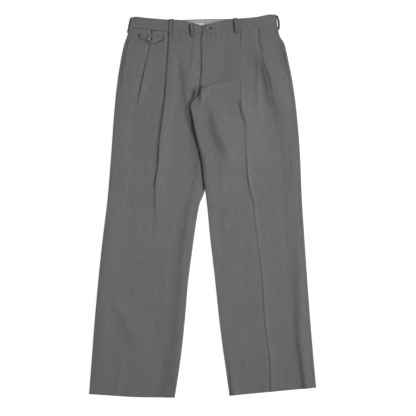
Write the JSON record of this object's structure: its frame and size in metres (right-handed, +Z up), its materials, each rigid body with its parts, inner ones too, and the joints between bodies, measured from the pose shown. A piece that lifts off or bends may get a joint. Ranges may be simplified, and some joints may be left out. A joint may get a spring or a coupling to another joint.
{
  "type": "pleated dress trousers",
  "caption": "Grey pleated dress trousers with pressed creases, laid flat with the front up: straight legs, belt loops, buttoned waistband and a flapped watch pocket.",
  "frame": {"origin": "on the surface that the trousers lie on, under the middle of their outline", "axes": "+X to the wearer's left, +Y from the hems to the waist, +Z up from the surface, which the back of the trousers lies on"},
  "size_m": [0.636, 1.0717, 0.0113],
  "materials": {
    "suiting": "mid-grey heathered wool suiting, matte with a faint sheen",
    "band_lining": "pale blue-grey satin lining",
    "label": "bare white woven tape",
    "horn": "brown and amber mottled horn, semi-gloss"
  },
  "bodies": {
    "root": {"front_right": "suiting", "front_left": "suiting", "back_right": "suiting", "back_left": "suiting", "waistband_right": "suiting", "waistband_left": "suiting", "watch_pocket_flap": "suiting", "belt_loop_front_right": "suiting", "belt_loop_front_left": "suiting", "belt_loop_fly": "suiting", "belt_loop_side_right": "suiting", "belt_loop_side_left": "suiting", "belt_loop_back_right": "suiting", "belt_loop_back_left": "suiting", "waist_lining_right": "band_lining", "waist_lining_left": "band_lining", "waist_label": "label", "button_waist": "horn", "button_watch_pocket": "horn"}
  },
  "joints": []
}
